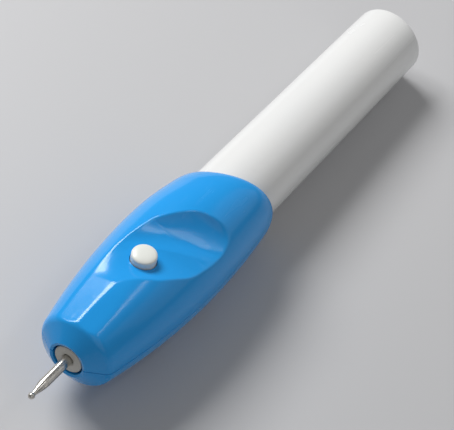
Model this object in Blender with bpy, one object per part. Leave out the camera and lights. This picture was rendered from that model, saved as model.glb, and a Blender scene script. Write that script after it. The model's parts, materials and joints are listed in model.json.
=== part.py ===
# Battery engraving pen: a moulded grip in two halves, a small motor that spins
# a ball-ended nib, a push button on leaf contacts, two AAA cells in a carrier
# and a closed battery tube that pulls off. Metres; the pen lies at rest on its
# belly and the tube's end, nose towards -X and button up.
import math

import bmesh
import bpy
from mathutils import Matrix, Vector

# Main sizes along the pen's own axis, measured from the mouth of the nose
grip_widest_at = 0.0418
grip_length = 0.0700
grip_max_radius = 0.01475
nose_rim_at = 0.0033
nose_rim_radius = 0.01035
nose_rim_round = 0.0013
nose_lip_radius = 0.0051
rim_lip = 0.0002
rim_round = 0.0014
rim_round_length = 0.0055
belly_fall_shares = (1.9, 2.0)
rim_slant_share = 0.39
rim_wave_share = 0.128
wave_turn = math.radians(-46.7)
slant_starts_at = 0.0420
slant_turn = math.radians(-26.8)
nose_bulge_share = 0.017
shell_wall = 0.0018

# Clearances between pieces, how far cuts run on, and how near points merge
part_gap = 0.0003
parting_gap = 0.00015
tube_clearance = 0.0002
overrun = 0.0040
weld_distance = 0.0000001

# Thumb hollow: a flat that starts at the nose, turns over the top and deepens into
# a scoop. Stations along the grip, where its edges lie, and how far it sags
hollow_end_at = 0.0512
hollow_at_shares = (0.0879, 0.3418, 0.4141, 0.498, 0.5508, 0.6602,
                    0.7695, 0.8262, 0.8965, 0.9531, 0.9844, 1.0)
hollow_left_degrees = (-39, -36, -35, -34, -33, -27, -20, -12, -2, 8, 22, 35)
hollow_right_degrees = (-5, -3, 10, 28, 36, 50, 55.5, 57, 57, 53, 48, 43)
hollow_sag_shares = (0, 0, 0, 0, 0, 0.8, 1, 0.85, 0.5, 0.2, 0, 0)
hollow_corners = (0, 1, 4, 6, 11)
hollow_sag = 0.0010
hollow_wall = 0.0015
hollow_skew_share = 0.8

# Second flat, beside the first, which runs out on the way back
flat_turn = math.radians(8.0)
flat_depth_share = 0.034
flat_end_at = 0.0170

# Push button on the scoop
button_at = 0.02875
button_radius = 0.00325
button_sink = 0.00045
button_crown = 0.0009
button_flange_radius = 0.0040
button_flange = 0.0005
button_boss_radius = 0.0050
button_clearance = 0.0003
button_nub_radius = 0.0014

# Leaf contacts under the button
leaf_width = 0.0036
leaf_thickness = 0.00025
leaf_drop = 0.0015
contact_drop = 0.0010
contact_lift = 0.0003
strip_front_at = 0.0256
strip_rear_at = 0.0404
post_front_at = 0.0360
post_length = 0.0032
post_web = 0.0008
post_lip = 0.0007

# Nib: a plastic sleeve pressed on the motor shaft, holding a steel pin
nib_bore_radius = 0.0043
nib_sleeve_radius = 0.0039
nib_sleeve_length = 0.0132
nib_sleeve_inset = 0.0003
nib_cone_depth = 0.0004
nib_cone_radius = 0.0018
nib_chamfer = 0.0004
pin_radius = 0.0013
pin_reach = 0.0146
pin_seat_depth = 0.0050
pin_taper_length = 0.0042
pin_neck_length = 0.0009
pin_neck_radius = 0.0006
pin_ball_radius = 0.00085
pin_flute_depth = 0.00045
pin_flute_width = 0.0005
pin_flute_count = 3
pin_flute_share = 0.8
pin_throat_radius = 0.00075

# Motor
motor_front_at = 0.0156
motor_radius = 0.0059
motor_length = 0.0148
motor_wall = 0.0004
motor_face = 0.0006
motor_corner = 0.0008
bush_radius = 0.0023
bush_length = 0.0020
shaft_radius = 0.00075
shaft_clearance = 0.0002
shaft_reach = 0.0080
cap_thickness = 0.0021
cap_spigot = 0.0012
magnet_thickness = 0.0008
magnet_length = 0.0100
magnet_half_angle = math.radians(62.0)
armature_radius = 0.0040
armature_length = 0.0084
armature_inset = 0.0031
armature_slot = 0.0009
armature_slots = 3
commutator_radius = 0.0015
commutator_length = 0.0018
terminal_offset = 0.0026
terminal_width = 0.0016
terminal_thickness = 0.0003
terminal_reach = 0.0020

# Ribs, bosses and screws of the grip
rib_thickness = 0.0016
front_rib_at = 0.0178
rear_rib_at = 0.0222
boss_wall = 0.0008
front_boss_at = 0.0244
front_boss_room = 0.0002
rear_boss_at = 0.0425
rear_boss_room = 0.0010
screw_radius = 0.0010
screw_head_radius = 0.0019
screw_head = 0.0013
screw_length = 0.0092
screw_seat = -0.0046
screw_head_top_share = 0.75
screw_head_edge_share = 0.6
screw_drive_radius = 0.0008
screw_drive_width = 0.0005
screw_drive_depth = 0.0006

# Battery carrier and its place in the grip
carrier_at = 0.0464
carrier_wall = 0.0016
carrier_side_wall = 0.0029
flange_at = 0.0548
flange_lip = 0.0029
flange_thickness = 0.0026
tube_seat_at = 0.0593
trough_opens_at = 0.0735
grip_ring_count = 3
grip_ring_width = 0.0004
grip_ring_spacing = 0.0024
grip_ring_at = 0.0628

# Cells and contacts
cell_radius = 0.0051
cell_length = 0.0436
cell_nub_radius = 0.0019
cell_nub = 0.0009
cell_corner = 0.0004
cell_fit = 0.0003
contact_thickness = 0.0003
contact_width = 0.0060
spring_wire = 0.0005
spring_turns = 3
spring_length = 0.0036
spring_wide = 0.0032
spring_narrow = 0.0019
strip_width = 0.0030

# Battery tube
tube_room = 0.0011
tube_taper = 0.0007
tube_wall = 0.0011
tube_end_wall = 0.0015
tube_corner = 0.0017

# Leads
lead_radius = 0.0004
lead_bend = 0.0012

# Counts of facets
round_steps = 40
inner_steps = 28
small_steps = 20
tiny_steps = 10
hollow_steps = 3
hollow_points = 10
grip_rings = 14
corner_steps = 4
room_steps = 5
lead_steps = 8
rest_steps = 160

# Places that follow from the sizes above
button_top = grip_max_radius - button_sink
contact_height = motor_radius + contact_lift
leaf_height = contact_height + contact_drop
button_seat = leaf_height + leaf_drop
post_foot = contact_height - post_lip
boss_radius = screw_head_radius + part_gap + boss_wall
front_boss_side = motor_radius + part_gap + boss_radius + front_boss_room
rear_boss_side = motor_radius + part_gap + boss_radius + rear_boss_room
sleeve_front_at = nib_sleeve_inset
sleeve_rear_at = sleeve_front_at + nib_sleeve_length
motor_rear_at = motor_front_at + motor_length
cap_rear_at = motor_rear_at + part_gap + cap_thickness
cavity_front_at = sleeve_rear_at + part_gap
cell_pocket_radius = cell_radius + cell_fit
carrier_radius = cell_pocket_radius + carrier_side_wall
tube_radius = carrier_radius + tube_room + tube_wall
tube_tail_radius = tube_radius - tube_taper
flange_radius = carrier_radius + flange_lip
grip_rim_radius = tube_radius + tube_clearance + rim_lip
front_contact_at = carrier_at + carrier_wall
front_cell_at = front_contact_at + contact_thickness + 2 * part_gap
rear_cell_at = front_cell_at + cell_nub + cell_length + part_gap
spring_at = rear_cell_at + cell_nub + cell_length + part_gap
rear_leg_at = spring_at + spring_length + spring_wire + part_gap
carrier_end_at = rear_leg_at + contact_thickness + part_gap + carrier_wall
tube_inner_end_at = carrier_end_at + 2 * part_gap
tube_end_at = tube_inner_end_at + tube_end_wall


def clear_scene():
    for thing in list(bpy.data.objects):
        bpy.data.objects.remove(thing, do_unlink=True)


def plastic(name, color, roughness, metallic=0.0):
    """A plain Principled material."""
    material = bpy.data.materials.new(name)
    material.use_nodes = True
    shader = material.node_tree.nodes["Principled BSDF"]
    shader.inputs["Base Color"].default_value = (*color, 1.0)
    shader.inputs["Roughness"].default_value = roughness
    shader.inputs["Metallic"].default_value = metallic
    return material


def add_object(name, mesh_maker, material=None):
    """Links a new object of the finished bmesh, as a child of the pen's frame."""
    mesh = bpy.data.meshes.new(name)
    bmesh.ops.recalc_face_normals(mesh_maker, faces=mesh_maker.faces)
    mesh_maker.to_mesh(mesh)
    mesh_maker.free()
    mesh.shade_smooth()
    mesh.set_sharp_from_angle(angle=math.radians(35.0))
    if material:
        mesh.materials.append(material)
    thing = bpy.data.objects.new(name, mesh)
    bpy.context.collection.objects.link(thing)
    thing.parent = pen_frame
    return thing


def set_origin(thing, at):
    """Moves the origin to a point of the pen's frame and leaves the shape where it is."""
    thing.data.transform(Matrix.Translation(-Vector(at)))
    thing.location = at


def as_cutter(thing):
    thing.hide_render = True
    thing.display_type = "WIRE"
    return thing


def combine(thing, other, operation):
    step = thing.modifiers.new(other.name, "BOOLEAN")
    step.object = other
    step.operation = operation
    step.solver = "EXACT"
    as_cutter(other)


def cut(thing, *others):
    for other in others:
        combine(thing, other, "DIFFERENCE")


def join(thing, *others):
    for other in others:
        combine(thing, other, "UNION")


def turned(name, profile, material=None, steps=round_steps):
    """Turns a list of (along, radius) points round the pen's axis. Ends at radius 0 close up."""
    maker = bmesh.new()
    first = math.pi / steps
    points = [maker.verts.new((x, r * math.sin(first), -r * math.cos(first))) for x, r in profile]
    edges = [maker.edges.new(pair) for pair in zip(points, points[1:])]
    if profile[0][1] and profile[-1][1]:
        edges.append(maker.edges.new((points[-1], points[0])))
    bmesh.ops.spin(
        maker, geom=points + edges, cent=(0, 0, 0), axis=(1, 0, 0),
        angle=math.tau, steps=steps, use_merge=True,
    )
    bmesh.ops.remove_doubles(maker, verts=maker.verts, dist=weld_distance)
    return add_object(name, maker, material)


def upright(name, profile, at, material=None, steps=small_steps):
    """Turns (height, radius) points round a vertical line through the point at."""
    thing = turned(name, profile, material, steps)
    thing.data.transform(Matrix.Translation(Vector(at)) @ Matrix.Rotation(-math.pi / 2, 4, "Y"))
    return thing


def rod(name, low, high, radius, material=None, steps=small_steps):
    return turned(name, [(low, 0), (low, radius), (high, radius), (high, 0)], material, steps)


def post(name, low, high, radius, at, material=None, steps=small_steps):
    return upright(name, [(low, 0), (low, radius), (high, radius), (high, 0)], at, material, steps)


def block(name, low, high, material=None):
    """A box between two corners."""
    maker = bmesh.new()
    size = [b - a for a, b in zip(low, high)]
    middle = [(a + b) / 2 for a, b in zip(low, high)]
    bmesh.ops.create_cube(maker, size=1.0)
    bmesh.ops.scale(maker, vec=size, verts=maker.verts)
    bmesh.ops.translate(maker, vec=middle, verts=maker.verts)
    return add_object(name, maker, material)


def loft(name, rings, material=None):
    """Skins closed rings of points in order and caps both ends."""
    maker = bmesh.new()
    loops = [[maker.verts.new(point) for point in ring] for ring in rings]
    for lower, upper in zip(loops, loops[1:]):
        for i in range(len(lower)):
            j = (i + 1) % len(lower)
            maker.faces.new((lower[i], lower[j], upper[j], upper[i]))
    maker.faces.new(loops[0])
    maker.faces.new(reversed(loops[-1]))
    return add_object(name, maker, material)


def smooth_step(share):
    share = min(max(share, 0.0), 1.0)
    return share * share * (3 - 2 * share)


def grip_radius(x):
    """The grip's radius before facets and slant: it swells to the belly, falls and rounds in at the rim."""
    if x < grip_widest_at:
        share = (grip_widest_at - x) / (grip_widest_at - nose_rim_at)
        return grip_max_radius - (grip_max_radius - nose_rim_radius) * share ** belly_fall_shares[0]
    share = (x - grip_widest_at) / (grip_length - grip_widest_at)
    fall = (grip_max_radius - grip_rim_radius - rim_round) * share ** belly_fall_shares[1]
    turn = min(max((x - grip_length + rim_round_length) / rim_round_length, 0), 1)
    return grip_max_radius - fall - rim_round * (1 - math.sqrt(1 - turn * turn))


def grip_ring(x, radius):
    """One ring of the grip. The rear leans, so that the rim is a slanted, slightly waved curve."""
    rise = smooth_step((x - slant_starts_at) / (grip_length - slant_starts_at))
    ring = []
    for i in range(round_steps):
        angle = math.tau * (i + 0.5) / round_steps
        lean = rim_slant_share * math.cos(angle - slant_turn)
        lean += rim_wave_share * math.cos(2 * (angle - wave_turn))
        ring.append((x - rise * lean * radius, -radius * math.sin(angle), radius * math.cos(angle)))
    return ring


def nose_profile():
    """The nose cone from its lip to the rounded rim, as (along, radius) points."""
    slope = math.atan2(nose_rim_at, nose_rim_radius - nose_lip_radius)
    middle = ((nose_rim_at / 2) - nose_rim_at * nose_bulge_share, (nose_lip_radius + nose_rim_radius) / 2)
    points = [(0, nose_lip_radius), middle]
    start = Vector((nose_rim_at - nose_rim_round * math.sin(slope),
                    nose_rim_radius - nose_rim_round * math.cos(slope)))
    end = Vector((nose_rim_at + nose_rim_round, grip_radius(nose_rim_at + nose_rim_round)))
    corner = Vector((nose_rim_at, nose_rim_radius))
    for i in range(corner_steps + 1):
        t = i / corner_steps
        point = start * (1 - t) ** 2 + corner * 2 * t * (1 - t) + end * t * t
        points.append((point.x, point.y))
    return points


def grip_body(name, material=None):
    """The whole outside of the grip as one closed body."""
    profile = nose_profile()
    first = profile[-1][0]
    last = grip_length - rim_round_length
    stations = [first + (last - first) * i / grip_rings for i in range(1, grip_rings + 1)]
    turns = [math.pi / 2 * i / corner_steps for i in range(1, corner_steps + 1)]
    stations += [last + rim_round_length * math.sin(turn) for turn in turns]
    profile += [(x, grip_radius(x)) for x in stations]
    return loft(name, [grip_ring(x, r) for x, r in profile], material)


def cavity_profile():
    """The grip's inside as (along, radius) points: the room, two motor ribs and the carrier's groove."""
    seat = motor_radius + part_gap
    way = carrier_radius + part_gap
    groove_front = flange_at - part_gap
    groove_rear = flange_at + flange_thickness + part_gap
    walls = (
        (cavity_front_at, front_rib_at),
        (front_rib_at + rib_thickness, rear_rib_at),
        (rear_rib_at + rib_thickness, groove_front - rib_thickness),
    )
    points = [(cavity_front_at, 0)]
    for start, end in walls:
        count = max(1, round(room_steps * (end - start) / (groove_front - cavity_front_at)))
        if points[-1][1]:
            points += [(points[-1][0], seat), (start, seat)]
        for i in range(count + 1):
            x = start + (end - start) * i / count
            points.append((x, grip_radius(x) * (1 - flat_depth_share) - shell_wall))
    points += [
        (groove_front - rib_thickness, way),
        (groove_front, way),
        (groove_front, flange_radius + part_gap),
        (groove_rear, flange_radius + part_gap),
        (groove_rear, way),
        (tube_seat_at + part_gap, way),
        (tube_seat_at + part_gap, 0),
    ]
    return points


def through(values, place):
    """A value at a place between stations, on a curve that is smooth but for the hollow's corners."""
    low = min(int(place), len(values) - 2)
    share = place - low
    before = values[low - 1] if low not in hollow_corners else 2 * values[low] - values[low + 1]
    after = values[low + 2] if low + 1 not in hollow_corners else 2 * values[low + 1] - values[low]
    a, b, c, d = before, values[low], values[low + 1], after
    return (2 * b + (c - a) * share + (2 * a - 5 * b + 4 * c - d) * share ** 2
            + (3 * b - a - 3 * c + d) * share ** 3) / 2


def hollow_sections():
    """(along, middle turn, height of the edges, half width, sag) of the hollow, from the nose to its end."""
    sections = []
    for i in range(hollow_steps * (len(hollow_at_shares) - 1) + 1):
        place = i / hollow_steps
        x = through(hollow_at_shares, place) * hollow_end_at
        left = math.radians(through(hollow_left_degrees, place))
        right = math.radians(through(hollow_right_degrees, place))
        half = (right - left) / 2
        radius = grip_radius(x)
        sag = through(hollow_sag_shares, place) * hollow_sag
        sections.append((x, (left + right) / 2, radius * math.cos(half), radius * math.sin(half), sag))
    x, turn, height, half, sag = sections[0]
    slope = (sections[hollow_steps][2] - height) / (sections[hollow_steps][0] - x)
    sections.insert(0, (-overrun, turn, height - slope * (x + overrun), half, sag))
    x, turn, height, half, sag = sections[-1]
    sections.append((x + overrun, turn, height + overrun, half, sag))
    return sections


def flat_faced(body):
    """Cuts the twisted faces of a loft into triangles, which are flat and cut cleanly."""
    mesh = bmesh.new()
    mesh.from_mesh(body.data)
    bmesh.ops.triangulate(mesh, faces=mesh.faces)
    mesh.to_mesh(body.data)
    mesh.free()


def sag_at(sections, x):
    """How far the hollow sags at a place along the grip."""
    for before, after in zip(sections, sections[1:]):
        if x < after[0]:
            share = max(x - before[0], 0) / (after[0] - before[0])
            return before[4] + (after[4] - before[4]) * share
    return 0


def hollow(name, wall):
    """The body that cuts the thumb hollow, or the same body deeper by a wall."""
    rings = []
    sections = hollow_sections()
    for x, turn, height, half, sag in sections:
        wide = half + overrun
        ring = []
        for i in range(hollow_points + 1):
            across = wide * (2 * i / hollow_points - 1)
            lag = hollow_skew_share * max(across + half, 0)
            dip = min(sag, sag_at(sections, x - lag)) * (1 - (across / half) ** 2)
            ring.append((across, height - dip - wall))
        top = grip_max_radius + 2 * overrun
        ring += [(wide, top), (-wide, top)]
        turned_ring = []
        for u, v in ring:
            side = -u * math.cos(turn) - v * math.sin(turn)
            turned_ring.append((x, side, v * math.cos(turn) - u * math.sin(turn)))
        rings.append(turned_ring)
    body = loft(name, rings)
    flat_faced(body)
    return as_cutter(body)


def front_flat():
    """The block that cuts the second flat."""
    front = nose_rim_at + nose_rim_round
    low = grip_radius(front) * (1 - flat_depth_share)
    tilt = math.atan2(grip_radius(flat_end_at) - low, flat_end_at - front)
    flat = block("front_flat", (-grip_length, -grip_max_radius, 0),
                 (grip_length, grip_max_radius, grip_max_radius))
    lay = Matrix.Rotation(flat_turn, 4, "X") @ Matrix.Translation((front, 0, low))
    lay = lay @ Matrix.Rotation(-tilt, 4, "Y")
    flat.data.transform(lay)
    return as_cutter(flat)


def screw_places():
    return (
        ("front_left", front_boss_at, front_boss_side),
        ("front_right", front_boss_at, -front_boss_side),
        ("rear_left", rear_boss_at, rear_boss_side),
        ("rear_right", rear_boss_at, -rear_boss_side),
    )


def cavity():
    """The grip's inside: the turned room less the hollow's wall, the bosses and the switch post."""
    room = turned("cavity", cavity_profile(), steps=inner_steps)
    cut(room, hollow("hollow_backing", hollow_wall))
    for place, x, y in screw_places():
        cut(room, post(f"boss_{place}", -grip_max_radius, grip_max_radius, boss_radius, (x, y, 0)))
    guide = button_radius + button_clearance + parting_gap
    cut(room, upright("button_guide", [
        (button_seat, guide),
        (button_seat, button_boss_radius),
        (grip_max_radius + overrun, button_boss_radius),
        (grip_max_radius + overrun, guide),
    ], (button_at, 0, 0)))
    cut(room, switch_post())
    return room


def switch_post():
    """The post that holds the roots of both contact strips, with a slot for each."""
    half = leaf_width / 2 + part_gap + post_web
    body = block("switch_post", (post_front_at, -half, post_foot),
                 (post_front_at + post_length, half, grip_max_radius))
    slot = leaf_width / 2 + part_gap
    for name, height in (("leaf_slot", leaf_height), ("contact_slot", contact_height)):
        low = (post_front_at - overrun, -slot, height - part_gap)
        high = (post_front_at + post_length + overrun, slot, height + leaf_thickness + part_gap)
        cut(body, block(name, low, high))
    return body


def shell_half(name, side, material, shared, holes):
    """One half of the grip, side +1 for the top and -1 for the bottom."""
    half = grip_body(name, material)
    reach = grip_length + overrun + grip_max_radius
    low, high = sorted((parting_gap / 2 * side, side * (grip_max_radius + overrun)))
    keep = block(f"{name}_keep", (-overrun, -grip_max_radius - overrun, low),
                 (reach, grip_max_radius + overrun, high))
    cut(half, *shared)
    cut(keep, *holes)
    combine(half, keep, "INTERSECT")
    return half


def grip_shells(blue):
    """Both halves, with the nose bore, motor seat, tube mouth, button hole and screw holes."""
    nose_bore = rod("nose_bore", -overrun, cavity_front_at + overrun / 2, nib_bore_radius)
    mouth = rod("tube_mouth", tube_seat_at, grip_length + grip_max_radius, tube_radius + tube_clearance,
                steps=round_steps)
    shared = [mouth, hollow("thumb_hollow", 0), front_flat(), cavity(), nose_bore]
    pilots = []
    holes = []
    for place, x, y in screw_places():
        pilots.append(post(f"pilot_{place}", -overrun, screw_seat + screw_length + 2 * part_gap,
                           screw_radius + part_gap, (x, y, 0), steps=tiny_steps))
        holes.append(upright(f"hole_{place}", [
            (-grip_max_radius - 2 * overrun, 0),
            (-grip_max_radius - 2 * overrun, screw_head_radius + part_gap),
            (screw_seat, screw_head_radius + part_gap),
            (screw_seat, screw_radius + part_gap),
            (overrun, screw_radius + part_gap),
            (overrun, 0),
        ], (x, y, 0), steps=small_steps))
    pilots.append(post("button_hole", button_seat - button_flange, grip_max_radius + 2 * overrun,
                       button_radius + button_clearance, (button_at, 0, 0)))
    shell_half("grip_top_shell", 1, blue, shared, pilots)
    shell_half("grip_bottom_shell", -1, blue, shared, holes)


def grip_screws(steel):
    """Self-tapping screws from below, with a cross recess; their threads are left plain."""
    for place, x, y in screw_places():
        seat = screw_seat - part_gap / 2
        screw = upright(f"grip_screw_{place}", [
            (seat - screw_head, 0),
            (seat - screw_head, screw_head_radius * screw_head_top_share),
            (seat - screw_head * screw_head_edge_share, screw_head_radius),
            (seat, screw_head_radius),
            (seat, screw_radius),
            (seat + screw_length - screw_radius, screw_radius),
            (seat + screw_length, 0),
        ], (x, y, 0), steel, tiny_steps)
        for turn, (wide, deep) in enumerate(((screw_drive_radius, screw_drive_width / 2),
                                             (screw_drive_width / 2, screw_drive_radius))):
            low = (x - wide, y - deep, seat - screw_head - overrun)
            high = (x + wide, y + deep, seat - screw_head + screw_drive_depth)
            cut(screw, block(f"drive_{place}_{turn}", low, high))


def power_button(white):
    """A domed cap on a flange that stays under the shell, with a nub over the leaf."""
    crown = button_top - button_crown
    profile = [(leaf_height + leaf_thickness + part_gap, 0)]
    profile.append((leaf_height + leaf_thickness + part_gap, button_nub_radius))
    flange_low = button_seat - part_gap - button_flange
    profile.append((flange_low, button_nub_radius))
    profile.append((flange_low, button_flange_radius))
    profile.append((flange_low + button_flange, button_flange_radius))
    profile.append((flange_low + button_flange, button_radius))
    for i in range(corner_steps + 2):
        turn = math.pi / 2 * i / (corner_steps + 1)
        profile.append((crown + button_crown * math.sin(turn), button_radius * math.sqrt(math.cos(turn))))
    profile[-1] = (button_top, 0)
    button = upright("power_button", profile, (button_at, 0, 0), white, small_steps)
    set_origin(button, (button_at, 0, button_seat))
    return button


def switch_contacts(brass):
    """The sprung leaf below the button and the fixed strip below the leaf."""
    leaf = block("switch_leaf", (strip_front_at, -leaf_width / 2, leaf_height),
                 (strip_rear_at, leaf_width / 2, leaf_height + leaf_thickness), brass)
    strip = block("switch_contact", (strip_front_at, -leaf_width / 2, contact_height),
                  (strip_rear_at, leaf_width / 2, contact_height + leaf_thickness), brass)
    return leaf, strip


def nib(white, steel):
    """The sleeve with its pin: a straight shank, a fluted taper, a neck and a ball."""
    front, rear = sleeve_front_at, sleeve_rear_at
    sleeve = turned("nib_sleeve", [
        (front + nib_cone_depth, 0),
        (front, nib_cone_radius),
        (front, nib_sleeve_radius - nib_chamfer),
        (front + nib_chamfer, nib_sleeve_radius),
        (rear - nib_chamfer, nib_sleeve_radius),
        (rear, nib_sleeve_radius - nib_chamfer),
        (rear, 0),
    ], white, small_steps)
    cut(sleeve, rod("pin_socket", -overrun, front + pin_seat_depth + part_gap,
                    pin_radius + shaft_clearance / 2, steps=tiny_steps))
    cut(sleeve, rod("shaft_socket", shaft_reach - part_gap, rear + overrun,
                    shaft_radius + shaft_clearance / 2, steps=tiny_steps))
    tip = -pin_reach
    ball = tip + pin_ball_radius
    taper_end = ball + pin_ball_radius + pin_neck_length
    profile = [(tip, 0)]
    neck_turn = math.acos(pin_neck_radius / pin_ball_radius)
    for i in range(1, 2 * corner_steps):
        turn = -math.pi / 2 + (math.pi / 2 + neck_turn) * i / (2 * corner_steps - 1)
        profile.append((ball + pin_ball_radius * math.sin(turn), pin_ball_radius * math.cos(turn)))
    profile += [
        (taper_end - pin_neck_length / 2, pin_neck_radius),
        (taper_end, pin_throat_radius),
        (taper_end + pin_taper_length, pin_radius),
        (front + pin_seat_depth, pin_radius),
        (front + pin_seat_depth, 0),
    ]
    pin = turned("nib_pin", profile, steel, small_steps)
    for i in range(pin_flute_count):
        turn = math.tau * (i + 0.5) / pin_flute_count
        low = (taper_end + pin_neck_length / 2, -pin_flute_width / 2, pin_radius - pin_flute_depth)
        high = (taper_end + pin_taper_length * pin_flute_share, pin_flute_width / 2, pin_radius + overrun)
        flute = block(f"flute_{i}", low, high)
        flute.data.transform(Matrix.Rotation(turn, 4, "X"))
        cut(pin, flute)
    for thing in (sleeve, pin):
        set_origin(thing, (sleeve_rear_at, 0, 0))


def motor(steel, bronze, magnet, copper, brass, black):
    """A two-pole brushed motor: can, bush, magnets, armature, commutator, shaft, end cap and terminals."""
    front, rear = motor_front_at, motor_rear_at
    inner = motor_radius - motor_wall
    turned("motor_can", [
        (front, bush_radius + shaft_clearance / 2),
        (front, motor_radius - motor_corner),
        (front + motor_corner, motor_radius),
        (rear, motor_radius),
        (rear, inner),
        (front + motor_face, inner),
        (front + motor_face, bush_radius + shaft_clearance / 2),
    ], steel)
    bush_front = front + motor_face - bush_length
    turned("motor_bush", [
        (bush_front, shaft_radius + shaft_clearance),
        (bush_front, bush_radius),
        (bush_front + bush_length, bush_radius),
        (bush_front + bush_length, shaft_radius + shaft_clearance),
    ], bronze, small_steps)
    magnet_front = front + armature_inset - (magnet_length - armature_length) / 2
    outer = inner - part_gap / 2
    for name, middle in (("upper", 0.0), ("lower", math.pi)):
        rings = []
        for x in (magnet_front, magnet_front + magnet_length):
            shares = [i / tiny_steps for i in range(tiny_steps + 1)]
            arc = [middle + magnet_half_angle * (2 * share - 1) for share in shares]
            thin = outer - magnet_thickness
            ring = [(x, outer * math.sin(a), outer * math.cos(a)) for a in arc]
            ring += [(x, thin * math.sin(a), thin * math.cos(a)) for a in reversed(arc)]
            rings.append(ring)
        loft(f"motor_magnet_{name}", rings, magnet)
    armature_front = front + armature_inset
    bore = shaft_radius + shaft_clearance / 2
    armature = turned("motor_armature", [
        (armature_front, bore),
        (armature_front, armature_radius),
        (armature_front + armature_length, armature_radius),
        (armature_front + armature_length, bore),
    ], copper, small_steps)
    for i in range(armature_slots):
        low = (armature_front - overrun, -armature_slot / 2, armature_radius / 2)
        high = (armature_front + armature_length + overrun, armature_slot / 2, armature_radius + overrun)
        slot = block(f"armature_slot_{i}", low, high)
        slot.data.transform(Matrix.Rotation(math.tau * i / armature_slots, 4, "X"))
        cut(armature, slot)
    commutator_front = armature_front + armature_length + part_gap
    commutator = turned("motor_commutator", [
        (commutator_front, bore),
        (commutator_front, commutator_radius),
        (commutator_front + commutator_length, commutator_radius),
        (commutator_front + commutator_length, bore),
    ], copper, small_steps)
    shaft_end = rear + part_gap + cap_thickness / 2
    shaft = rod("motor_shaft", shaft_reach, shaft_end, shaft_radius, steel, tiny_steps)
    for thing in (armature, commutator, shaft):
        set_origin(thing, (front, 0, 0))
    cap = turned("motor_end_cap", [
        (rear - cap_spigot, shaft_radius + shaft_clearance),
        (rear - cap_spigot, inner - part_gap),
        (rear + part_gap, inner - part_gap),
        (rear + part_gap, motor_radius),
        (cap_rear_at, motor_radius),
        (cap_rear_at, shaft_radius + shaft_clearance),
    ], black)
    for side, name in ((1, "left"), (-1, "right")):
        y = side * terminal_offset
        thin, wide = terminal_thickness / 2, terminal_width / 2
        loose = part_gap / 2
        root = cap_rear_at - terminal_reach / 2
        cut(cap, block(f"terminal_slot_{name}", (root, y - thin - loose, -wide - loose),
                       (cap_rear_at + overrun, y + thin + loose, wide + loose)))
        block(f"motor_terminal_{name}", (root + part_gap, y - thin, -wide),
              (cap_rear_at + terminal_reach, y + thin, wide), brass)


def battery_carrier(black):
    """A pipe in the grip that goes on as an open trough in the tube, with a flange that the grip holds."""
    profile = [(carrier_at, 0), (carrier_at, carrier_radius), (flange_at, carrier_radius),
               (flange_at, flange_radius), (flange_at + flange_thickness, flange_radius),
               (flange_at + flange_thickness, carrier_radius)]
    ring_radius = tube_radius - tube_wall - part_gap
    for i in range(grip_ring_count):
        x = grip_ring_at + i * grip_ring_spacing
        profile += [(x, carrier_radius), (x + grip_ring_width, ring_radius),
                    (x + 2 * grip_ring_width, ring_radius), (x + 3 * grip_ring_width, carrier_radius)]
    profile += [(carrier_end_at, carrier_radius), (carrier_end_at, 0)]
    carrier = turned("battery_carrier", profile, black, inner_steps)
    pocket_end = rear_leg_at + contact_thickness + part_gap
    cut(carrier, rod("cell_pocket", front_contact_at, pocket_end, cell_pocket_radius, steps=inner_steps))
    cut(carrier, block("trough_opening", (trough_opens_at, -cell_pocket_radius, 0),
                       (pocket_end, cell_pocket_radius, carrier_radius + overrun)))
    groove = carrier_radius - contact_thickness - 2 * part_gap
    half = strip_width / 2 + part_gap
    cut(carrier, block("strip_groove", (carrier_at - overrun, -half, -carrier_radius - overrun),
                       (pocket_end, half, -groove)))
    cut(carrier, block("strip_way", (rear_leg_at - part_gap, -half, -carrier_radius - overrun),
                       (pocket_end, half, -cell_pocket_radius / 2)))
    tab = contact_thickness / 2 + part_gap
    wide = terminal_width / 2 + part_gap
    cut(carrier, block("tab_way", (carrier_at - overrun, -wide, cell_nub_radius - tab),
                       (front_contact_at + overrun / 4, wide, cell_nub_radius + tab)))
    return carrier


def cell_contacts(brass, steel):
    """The front contact, the coil behind the cells and the strip that brings the current back."""
    half = contact_width / 2
    plate_at = front_contact_at + part_gap
    plate_end = plate_at + contact_thickness
    plate = block("front_contact", (plate_at, -half, -half), (plate_end, half, half), brass)
    tab_low = cell_nub_radius - contact_thickness / 2
    join(plate, block("front_tab", (carrier_at - terminal_reach, -terminal_width / 2, tab_low),
                      (plate_at + contact_thickness / 2, terminal_width / 2, tab_low + contact_thickness)))
    level = -carrier_radius + part_gap
    strip = block("return_strip", (carrier_at - terminal_reach, -strip_width / 2, level),
                  (rear_leg_at + contact_thickness, strip_width / 2, level + contact_thickness), brass)
    join(strip, block("return_leg", (rear_leg_at, -strip_width / 2, level),
                      (rear_leg_at + contact_thickness, strip_width / 2, cell_nub_radius)))
    start = spring_at + spring_wire / 2
    steps_per_turn = tiny_steps
    count = spring_turns * steps_per_turn
    points = []
    for i in range(count + 1):
        share = i / count
        radius = spring_narrow + (spring_wide - spring_narrow) * share
        angle = math.tau * spring_turns * share
        points.append((start + spring_length * share, radius * math.cos(angle), radius * math.sin(angle)))
    wire("cell_spring", points, spring_wire / 2, steel)


def wire(name, points, radius, material):
    """A round tube along a list of points, with filled ends."""
    curve = bpy.data.curves.new(name, "CURVE")
    curve.dimensions = "3D"
    curve.bevel_depth = radius
    curve.bevel_resolution = 1
    curve.use_fill_caps = True
    line = curve.splines.new("POLY")
    line.points.add(len(points) - 1)
    for slot, point in zip(line.points, points):
        slot.co = (*point, 1.0)
    curve.materials.append(material)
    thing = bpy.data.objects.new(name, curve)
    bpy.context.collection.objects.link(thing)
    thing.parent = pen_frame
    return thing


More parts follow.
